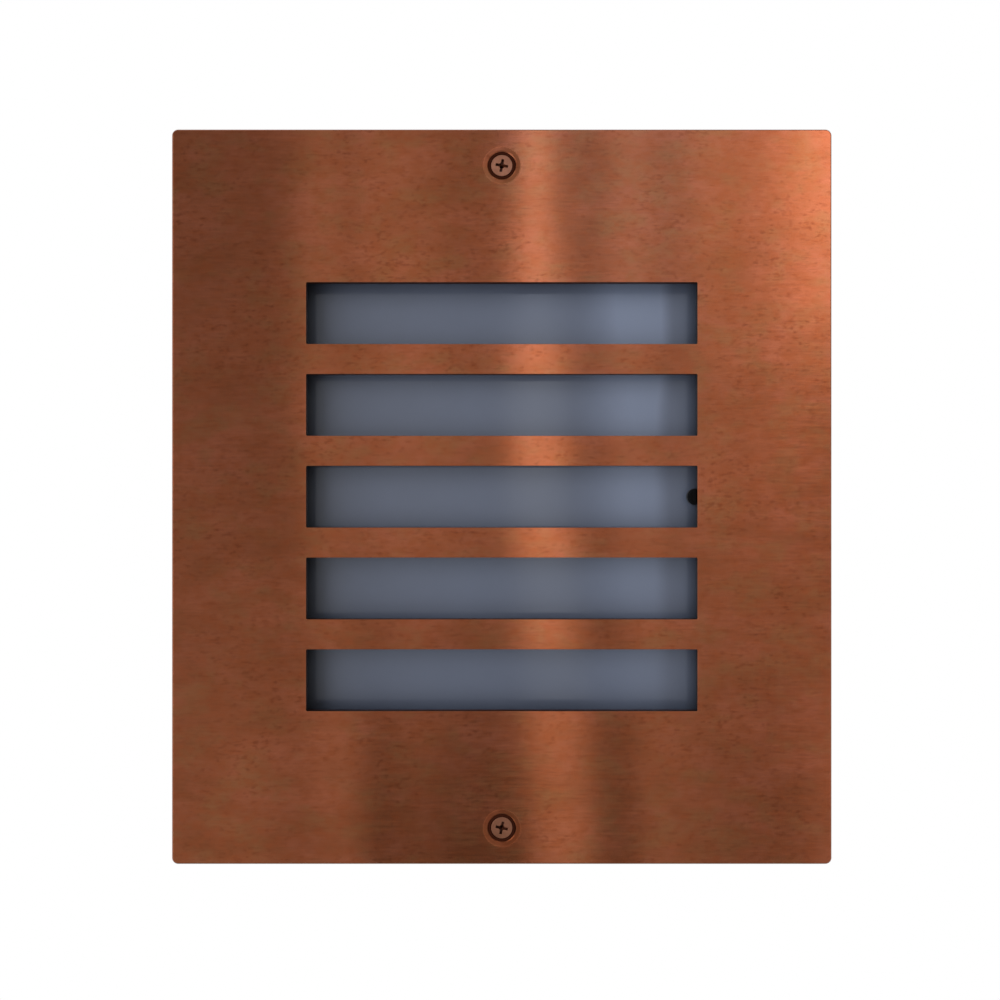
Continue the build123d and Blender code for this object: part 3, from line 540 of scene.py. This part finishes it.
def rolled_profile(along, angle):
    """A thin wall rolled into a round thread, which runs out towards both ends."""
    tree = rolled_rule
    depth = sums(tree, "MULTIPLY", along, size["Length"])
    phase = sums(tree, "MULTIPLY_ADD", sums(tree, "DIVIDE", depth, size["Pitch"]), math.tau,
                 sums(tree, "MULTIPLY", angle, -1.0))
    wave = sums(tree, "MULTIPLY_ADD", sums(tree, "COSINE", phase), -0.5, 0.5)
    begun = eased(tree, depth, 0.0, size["Plain Start"])
    ended = eased(tree, sums(tree, "SUBTRACT", size["Length"], depth),
                  sums(tree, "MULTIPLY", size["Plain End"], 0.6), size["Plain End"])
    cut = sums(tree, "MULTIPLY", wave, size["Thread Depth"])
    cut = sums(tree, "MULTIPLY", cut, sums(tree, "MULTIPLY", begun, ended))
    outer = sums(tree, "SUBTRACT", sums(tree, "DIVIDE", size["Diameter"], 2.0), cut)
    return outer, sums(tree, "SUBTRACT", outer, size["Wall"]), depth


give_out(rolled_rule, sleeve(rolled_rule, 80, 65, rolled_profile), size)


def left_end(name):
    """The middle of a lying CAD piece's left end, where it begins."""
    low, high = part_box(name)
    return Vector((low.x, (low.y + high.y) / 2, (low.z + high.z) / 2))


lying = (0.0, 0.0, -quarter)
low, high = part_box("lampholder_shell")
made_by(rolled_rule, "holder_screw_shell", [left_end("lampholder_shell")], "wall_box", nickel,
        ["lampholder_shell"],
        {"Diameter": high.z - low.z, "Wall": 0.0006, "Length": high.x - low.x, "Thread Depth": 0.0003,
         "Plain End": 0.002, "Facing": lying})
made_by(screw_rule, "holder_screws", ends("lampholder_screws", axis=0), "wall_box", zinc,
        ["lampholder_screws"],
        {"Head Diameter": 0.0074, "Head Height": 0.0026, "Thread Diameter": 0.004, "Pitch": 0.0007,
         "Length": 0.0166, "Recess Span": 0.0044, "Recess Width": 0.001, "Recess Depth": 0.0015,
         "Facing": lying, "Twist": 1.5, "Rows": 230, "Seed": 9})

# Lamp: an opal globe on a flared white housing, with a rolled screw cap, a black glass
# insulator and a soldered tip contact.
opal = moulded_finish("opal_globe", (0.84, 0.83, 0.79), dullness=0.37, grain=1200.0, mottle=0.02,
                      depth=0.03, dust=0.05, Subsurface_Weight=0.3, Subsurface_Scale=0.004)
white_housing = moulded_finish("white_housing", (0.76, 0.76, 0.74), dullness=0.36, grain=1600.0,
                               mottle=0.03, depth=0.06, dust=0.06)
black_glass = moulded_finish("black_glass", (0.012, 0.012, 0.016), dullness=0.12, grain=300.0, mottle=0.10,
                             depth=0.04, dust=0.04)
solder = metal_finish("solder", (0.58, 0.57, 0.55), (0.42, 0.41, 0.39), dullness=0.38,
                      strokes=(400, 400, 400), contrast=0.08, depth=0.10)
low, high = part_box("lamp_cap")
made_by(rolled_rule, "lamp_screw_cap", [left_end("lamp_cap")], "lamp", nickel, ["lamp_cap"],
        {"Diameter": high.z - low.z, "Length": high.x - low.x, "Facing": lying})
dress(black_glass, "lamp_insulator")
dress(solder, "lamp_contact")
dress(white_housing, "lamp_housing")
dress(opal, "lamp_globe")

# Glass frame: a dark grey moulded tray behind the plate, nutted to four welded studs. Black
# rubber buttons pressed into its lugs keep the plate from rattling, and one of them shows at the
# right end of the middle slot.
dark_plastic = moulded_finish("dark_grey_moulding", (0.014, 0.014, 0.015), dullness=0.55, grain=2200.0,
                              mottle=0.12, depth=0.25, dust=0.12)
bumper_rubber = moulded_finish("bumper_rubber", (0.003, 0.003, 0.003), dullness=0.80, grain=3800.0,
                               mottle=0.22, depth=0.25, dust=0.0, Specular_IOR_Level=0.05)
dress(dark_plastic, "glass_frame")
dress(bumper_rubber, "plate_bumpers")
dress(black_rubber, "glass_gasket", "cover_gasket")
dress(zinc, "glass_retainer_top", "glass_retainer_bottom")
stud_rule, size = rule("threaded_stud", {
    "Diameter": 0.004, "Pitch": 0.0007, "Length": 0.01, "Facing": (0.0, 0.0, 0.0), "Twist": 0.0, "Seed": 1,
})


def stud_profile(along, angle):
    """A threaded rod with a blunt tip."""
    tree = stud_rule
    tip_share = 0.75
    depth = sums(tree, "MULTIPLY", along, size["Length"])
    radius = sums(tree, "DIVIDE", size["Diameter"], 2.0)
    rod = threaded(tree, radius, depth, angle, size["Pitch"])
    tip = sums(tree, "MULTIPLY_ADD", radius, tip_share, sums(tree, "SUBTRACT", size["Length"], depth))
    return sums(tree, "MINIMUM", rod, tip), depth


give_out(stud_rule, turned(stud_rule, 180, 33, stud_profile), size)
low, high = solids("frame_studs")[0]
made_by(stud_rule, "welded_studs", ends("frame_studs"), "cover", zinc, ["frame_studs"],
        {"Length": high.y - low.y, "Twist": math.tau})
nut_rule, size = rule("hexagon_nut", {
    "Across": 0.007, "Height": 0.0032, "Bore": 0.004, "Facing": (0.0, 0.0, 0.0), "Twist": 0.0, "Seed": 1,
})


def nut_profile(along, angle):
    """Six flats, chamfered at both ends, round a bore with a small sink."""
    tree = nut_rule
    sixth, chamfer_slope, chamfer_share, sink_depth = math.pi / 3, 1.7, 0.485, 0.0003
    depth = sums(tree, "MULTIPLY", along, size["Height"])
    near = sums(tree, "MINIMUM", depth, sums(tree, "SUBTRACT", size["Height"], depth))
    turn = sums(tree, "MODULO", sums(tree, "ADD", angle, sixth / 2), sixth)
    turn = sums(tree, "SUBTRACT", turn, sixth / 2)
    flat = sums(tree, "DIVIDE", sums(tree, "DIVIDE", size["Across"], 2.0), sums(tree, "COSINE", turn))
    cone = sums(tree, "MULTIPLY", size["Across"], chamfer_share)
    cone = sums(tree, "MULTIPLY_ADD", near, chamfer_slope, cone)
    sink = sums(tree, "MAXIMUM", sums(tree, "SUBTRACT", sink_depth, near), 0.0)
    hole = sums(tree, "ADD", sums(tree, "DIVIDE", size["Bore"], 2.0), sink)
    return sums(tree, "MINIMUM", flat, cone), hole, depth


give_out(nut_rule, sleeve(nut_rule, 24, 49, nut_profile), size)
low, high = solids("frame_nuts")[0]
made_by(nut_rule, "stud_nuts", ends("frame_nuts"), "cover", zinc, ["frame_nuts"],
        {"Height": high.y - low.y, "Twist": 1.0, "Seed": 13})
made_by(screw_rule, "retainer_fixings", ends("retainer_screws", far=True), "cover", zinc,
        ["retainer_screws"],
        {"Head Diameter": 0.0056, "Head Height": 0.0018, "Thread Diameter": 0.003, "Pitch": 0.0005,
         "Length": 0.008, "Recess Span": 0.0033, "Recess Width": 0.0008, "Recess Depth": 0.0011,
         "Facing": (math.pi, 0.0, 0.0), "Twist": 1.5, "Rows": 150, "Seed": 11})

# Glass pane: float glass sand-blasted on its back in upright passes, so it is cloudy blue-grey, and
# only lets a soft glow of what is behind it through. A lighter upright band to the right, strongest
# at the top, is a painted sheen; a near-black band down each side is painted shade at the slots' ends.
glass, tree, surface = bare_finish("sand_blasted_glass", Transmission_Weight=0.25, IOR=1.5, Coat_Weight=0.4,
                                   Coat_Roughness=0.08, Specular_IOR_Level=0.35)
thin_frost = (0.072, 0.0905, 0.143, 1)
thick_frost_and_sheen = (0.200, 0.247, 0.366, 1)
painted_shade_glass = (0.006, 0.006, 0.007, 1)
spot = point_of(tree)
place = split(tree, spot)
haze = noise(tree, spot, 30.0, 4.0, 0.6)
wander = sums(tree, "MULTIPLY_ADD", haze, 0.006, place["X"])
# Painted sheen: a lighter upright band to the right, strongest at the top.
sheen_start = eased(tree, wander, 0.026, 0.050)
sheen_end = eased(tree, wander, 0.0548, 0.0622)
sheen_grows_upward = spread(tree, place["Z"], 0.27, 1.06, -0.065, 0.065)
painted_sheen = sums(tree, "MULTIPLY", sums(tree, "SUBTRACT", sheen_start, sheen_end), sheen_grows_upward)
left_pass = spread(tree, place["X"], 0.0, 0.17, -0.055, -0.012)
even = sums(tree, "ADD", spread(tree, haze, 0.0, 0.1), left_pass)
blasted = blended(tree, sums(tree, "ADD", painted_sheen, even), thin_frost, thick_frost_and_sheen)
# Painted shade: the pane goes near black down each side, at the slots' ends.
middle_of_shaded_ends = 0.0010
across = sums(tree, "ABSOLUTE", sums(tree, "SUBTRACT", place["X"], middle_of_shaded_ends))
shade_at_ends = sums(tree, "MULTIPLY", eased(tree, across, 0.0608, 0.0690), 0.95)
tree.links.new(blended(tree, shade_at_ends, blasted, painted_shade_glass), surface["Base Color"])
tree.links.new(spread(tree, haze, 0.48, 0.58), surface["Roughness"])
roughen(tree, surface, noise(tree, spot, 1900.0), 0.1, 0.0002)
dress(glass, "glass_pane")

# Face plate: 3 mm copper sheet with five slots, brushed from side to side and lacquered, and since
# gone brown in clouds, with small dark pits drawn out along the brushing. Tools have rubbed it dull
# round the screws, and the lower one's ring is darker brown. The slots' cut walls are near black,
# partly as oxide and partly as painted shade inside the slots.
copper, tree, surface = bare_finish("aged_brushed_copper", Metallic=1.0, Anisotropic=1.0,
                                    Anisotropic_Rotation=0.25, Coat_Weight=0.05, Coat_Roughness=0.2)


def stretched(tree, spot, scales):
    """A pattern's place, squeezed along X, Y and Z."""
    return put(tree, "ShaderNodeMapping", {"Vector": spot, "Scale": scales}).outputs[0]


spot = point_of(tree)
drifts = stretched(tree, spot, (1.0, 1.0, 1.7))
clouded = (0.188, 0.0570, 0.0222, 1)
# Each layer of cloud: how fine, how detailed and how rough it is, its largest share, the noise that
# it starts and is full at, and its tint.
for scale, detail, rough, most, start, full, tint in (
    (24.0, 7.0, 0.62, 1.0, 0.34, 0.66, (0.270, 0.0805, 0.0378, 1)),
    (61.0, 5.0, 0.5, 0.55, 0.45, 0.7, (0.285, 0.0880, 0.0480, 1)),
    (88.0, 2.0, 0.5, 0.65, 0.48, 0.68, (0.210, 0.0820, 0.0334, 1)),
    (230.0, 4.0, 0.6, 0.60, 0.42, 0.66, (0.222, 0.0573, 0.0204, 1)),
):
    share = spread(tree, noise(tree, drifts, scale, detail, rough), 0.0, most, start, full)
    clouded = blended(tree, share, clouded, tint)
brown_stain = (0.115, 0.024, 0.007, 1)
gather = noise(tree, spot, 42.0, 3.0)
drawn = stretched(tree, spot, (480.0, 480.0, 1000.0))
pits = sums(tree, "MULTIPLY", spread(tree, noise(tree, drawn, 1.0, 1.0), 0.0, 0.55, 0.54, 0.80),
            spread(tree, gather, 0.3, 1.0, 0.38, 0.62))
streaked = stretched(tree, spot, (190.0, 190.0, 1600.0))
streaks = sums(tree, "MULTIPLY", spread(tree, noise(tree, streaked, 1.0, 1.0), 0.0, 0.28, 0.60, 0.78),
               spread(tree, gather, 1.0, 0.2, 0.38, 0.55))
stained = blended(tree, sums(tree, "MAXIMUM", pits, streaks), clouded, brown_stain)
low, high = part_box("cover_screw_top")
ring_edge, ring_full = 0.0068, 0.0056
place = split(tree, spot)
past = sums(tree, "SUBTRACT", sums(tree, "ABSOLUTE", place["Z"]), (low.z + high.z) / 2)
aside = put(tree, "ShaderNodeCombineXYZ", {"X": place["X"], "Z": past}).outputs[0]
reach = put(tree, "ShaderNodeVectorMath", {0: aside}, operation="LENGTH").outputs["Value"]
worn = eased(tree, reach, ring_edge, ring_full)
dull = sums(tree, "MULTIPLY_ADD", worn, 0.215, 0.165)
# The lower screw's ring is darker brown.
below = sums(tree, "MULTIPLY", worn, sums(tree, "LESS_THAN", place["Z"], 0.0))
stained = blended(tree, sums(tree, "MULTIPLY", below, 0.5), stained, brown_stain)
# The slots' cut walls go near black and duller: partly oxide, partly painted shade inside the slots.
black_oxide_and_shade = (0.045, 0.013, 0.006, 1)
beside = eased(tree, sums(tree, "ABSOLUTE", place["X"]), 0.075, 0.070)
among = sums(tree, "MULTIPLY", beside, eased(tree, sums(tree, "ABSOLUTE", place["Z"]), 0.082, 0.076))
edgeways = eased(tree, sums(tree, "ABSOLUTE", facing_of(tree)["Y"]), 0.6, 0.2)
cut = sums(tree, "MULTIPLY", edgeways, among)
stained = blended(tree, cut, stained, black_oxide_and_shade)
dull = sums(tree, "MULTIPLY_ADD", cut, 0.25, dull)
sizes = {"Tint": stained, "Strokes": (210.0, 210.0, 2500.0), "Dullness": dull, "Contrast": 0.05}
grain = put(tree, "ShaderNodeGroup", sizes, node_tree=brushed_grain).outputs
tree.links.new(grain["Color"], surface["Base Color"])
tree.links.new(grain["Roughness"], surface["Roughness"])
roughen(tree, surface, grain["Height"], 0.018, 0.0002)
dress(copper, "face_plate")

# Cover screws: M4 countersunk steel screws, bronzed to go with the plate, each on a conical rubber
# seal that fills its sink.
bronzed = metal_finish("bronzed_steel", (0.205, 0.088, 0.053), (0.148, 0.059, 0.032), dullness=0.34,
                       strokes=(700, 700, 700), contrast=0.10, depth=0.06)
for side, turn in (("top", 10.0), ("bottom", 12.0)):
    made_by(screw_rule, side + "_cover_screw", ends("cover_screw_" + side), side + "_screw",
            bronzed, ["cover_screw_" + side],
            {"Head Diameter": 0.0072, "Head Height": 0.0003, "Dome": 0.0, "Thread Diameter": 0.004,
             "Pitch": 0.0007, "Length": 0.016, "Recess Span": 0.0042, "Recess Width": 0.0009,
             "Recess Depth": 0.0016, "Facing": (0.0, math.radians(turn), 0.0), "Rows": 240})
# The seals' dark red-brown is partly painted shade: it stands for the shaded copper of the sink round each
# head.
seal_rubber_and_shade = moulded_finish("seal_rubber_and_shade", (0.038, 0.007, 0.002), dullness=0.75, grain=3800.0, mottle=0.22,
                             depth=0.25, dust=0.0, Specular_IOR_Level=0.04)
dress(seal_rubber_and_shade, "screw_seal_top", "screw_seal_bottom")

# Studio: a pale floor well under the light, which fades into a white surround, and plain soft
# boxes. A board behind the camera, which only polished surfaces show, has the soft upright
# bands of a room on it.
floor_radius, floor_height, floor_sides = 0.62, -0.46, 64
floor_mesh = bpy.data.meshes.new("studio_floor")
turns = [math.tau * step / floor_sides for step in range(floor_sides)]
rim = [(floor_radius * math.cos(turn), floor_radius * math.sin(turn), floor_height) for turn in turns]
floor_mesh.from_pydata(rim, [], [list(range(floor_sides))])
floor = set_down("studio_floor", floor_mesh)


def shown(tree):
    """1 for rays from the camera and for those that polished or clear surfaces send on."""
    path = put(tree, "ShaderNodeLightPath").outputs
    onward = sums(tree, "MAXIMUM", path["Is Glossy Ray"], path["Is Transmission Ray"])
    return sums(tree, "MAXIMUM", path["Is Camera Ray"], onward)


pale = bpy.data.materials.new("pale_floor")
tree = emptied(pale)
spot = point_of(tree)
flat = put(tree, "ShaderNodeVectorMath", {0: spot, 1: (1.0, 1.0, 0.0)}, operation="MULTIPLY").outputs[0]
away = put(tree, "ShaderNodeVectorMath", {0: flat}, operation="LENGTH").outputs["Value"]
paint = blended(tree, noise(tree, spot, 300.0, 3.0), (0.78, 0.78, 0.77, 1), (0.82, 0.82, 0.81, 1))
matt = put(tree, "ShaderNodeBsdfDiffuse", {"Color": paint}).outputs[0]
glow = put(tree, "ShaderNodeEmission", {"Color": (1, 1, 1, 1), "Strength": 1.0}).outputs[0]
share = sums(tree, "MULTIPLY", shown(tree), eased(tree, away, 0.30, 0.58))
mixed = put(tree, "ShaderNodeMixShader", {0: share, 1: matt, 2: glow}).outputs[0]
put(tree, "ShaderNodeOutputMaterial", {"Surface": mixed})
floor_mesh.materials.append(pale)

surround = bpy.data.worlds.new("white_surround")
bpy.context.scene.world = surround
tree = emptied(surround)
soft = put(tree, "ShaderNodeBackground", {"Color": (0.97, 0.98, 1.0, 1), "Strength": 0.32}).outputs[0]
white = put(tree, "ShaderNodeBackground", {"Color": (1, 1, 1, 1), "Strength": 1.0}).outputs[0]
mixed = put(tree, "ShaderNodeMixShader", {0: shown(tree), 1: soft, 2: white}).outputs[0]
put(tree, "ShaderNodeOutputWorld", {"Surface": mixed})


def soft_box(name, place, aim, width, height, radiance):
    """A rectangular lamp that faces a point, with its brightness given as it is seen."""
    lamp = bpy.data.lights.new(name, "AREA")
    lamp.shape = "RECTANGLE"
    lamp.size = width
    lamp.size_y = height
    lamp.energy = radiance * math.pi * width * height
    stand = set_down(name, lamp)
    stand.location = place
    stand.rotation_euler = (Vector(aim) - Vector(place)).to_track_quat("-Z", "Y").to_euler()


soft_box("left_key", (-1.10, -1.05, 0.04), aim=(0, 0, 0), width=1.35, height=1.75, radiance=2.9)
soft_box("back_box", (0.9, 1.5, 0.9), aim=(0, 0.05, 0), width=0.9, height=0.9, radiance=5.0)

half_width, half_height, board_y = 1.2, 1.1, -1.3
board_mesh = bpy.data.meshes.new("room_board")
corners = [(-half_width, board_y, -half_height), (half_width, board_y, -half_height),
           (half_width, board_y, half_height), (-half_width, board_y, half_height)]
board_mesh.from_pydata(corners, [], [(0, 1, 2, 3)])
board = set_down("room_board", board_mesh)
board.visible_camera = board.visible_diffuse = board.visible_shadow = board.visible_transmission = False
room = bpy.data.materials.new("room_bands")
tree = emptied(room)
place = split(tree, point_of(tree))
height = sums(tree, "DIVIDE", place["Z"], 0.5)
upper = eased(tree, height, 0.3, 0.9)
lower = put(tree, "ShaderNodeClamp", {"Value": sums(tree, "MULTIPLY", height, -1.0)}).outputs[0]
lean = sums(tree, "MULTIPLY_ADD", sums(tree, "POWER", lower, 0.75), -0.048, place["X"])
level = 1.0
# Each band: its left and right edge, how soft they are, and how much light it adds or takes away
# at the bottom, in the middle and at the top. Bands lean slightly to the right as they go down.
for left, right, soft, bottom, middle, top in (
    (-0.80, -0.315, 0.06, -0.05, -0.39, -0.45),
    (-0.50, -0.41, 0.05, 0.14, 0.0, 0.0),
    (-0.385, -0.31, 0.04, -0.16, 0.0, 0.0),
    (-0.30, 0.0, 0.05, 0.0, 0.23, 0.02),
    (-0.256, 0.0, 0.03, -0.77, -0.06, -0.05),
    (-0.247, -0.222, 0.02, 0.0, -0.06, -0.22),
    (-0.213, -0.140, 0.03, 0.20, 0.0, 0.13),
    (-0.185, -0.075, 0.04, 0.0, 0.16, -0.03),
    (-0.09, 0.015, 0.05, 0.0, -0.05, -0.27),
    (0.010, 0.102, 0.025, 0.0, 1.52, -0.04),
    (0.034, 0.076, 0.027, 0.13, 0.60, 1.92),
    (0.10, 0.17, 0.03, -0.60, -0.12, 0.12),
    (0.165, 0.235, 0.03, -0.10, 0.36, 0.70),
    (0.225, 0.285, 0.03, -0.10, 0.0, -0.06),
    (0.272, 0.308, 0.03, 0.0, 0.0, -0.22),
    (0.27, 0.90, 0.10, -0.42, 0.10, 0.99),
    (0.46, 0.90, 0.16, 0.85, -0.50, 2.85),
):
    start = eased(tree, lean, left - soft / 2, left + soft / 2)
    stop = eased(tree, lean, right - soft / 2, right + soft / 2)
    amount = sums(tree, "MULTIPLY_ADD", lower, bottom - middle, middle)
    amount = sums(tree, "MULTIPLY_ADD", upper, top - middle, amount)
    level = sums(tree, "MULTIPLY_ADD", sums(tree, "SUBTRACT", start, stop), amount, level)
neutral, cool_tone, warm_tone = (1, 1, 1, 1), (1.0, 1.12, 1.40, 1), (1.0, 0.965, 0.98, 1)
cool = sums(tree, "SUBTRACT", eased(tree, lean, -0.02, 0.04), eased(tree, lean, 0.26, 0.34))
tone = blended(tree, sums(tree, "MULTIPLY", cool, upper), neutral, cool_tone)
tone = blended(tree, eased(tree, lean, 0.28, 0.40), tone, warm_tone)
glow = put(tree, "ShaderNodeEmission", {"Color": tone, "Strength": level}).outputs[0]
put(tree, "ShaderNodeOutputMaterial", {"Surface": glow})
board_mesh.materials.append(room)

# Camera: straight in front of the plate, a little below and left of its middle, and as near as a
# hand-held photograph would be taken.
photo_pixels = 1000
pixels_per_metre = 3000
seen_width = photo_pixels / pixels_per_metre
distance = 0.36
eye = bpy.data.cameras.new("front_camera")
eye.sensor_width = 36.0
eye.lens = eye.sensor_width * distance / seen_width
eye.clip_start = 0.01
eye.clip_end = 50.0
camera = set_down("front_camera", eye)
camera.location = (-0.0006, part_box("face_plate")[0].y - distance, -0.0011)
camera.rotation_euler = (quarter, 0, 0)
bpy.context.scene.camera = camera
bpy.context.scene.view_settings.view_transform = "Standard"
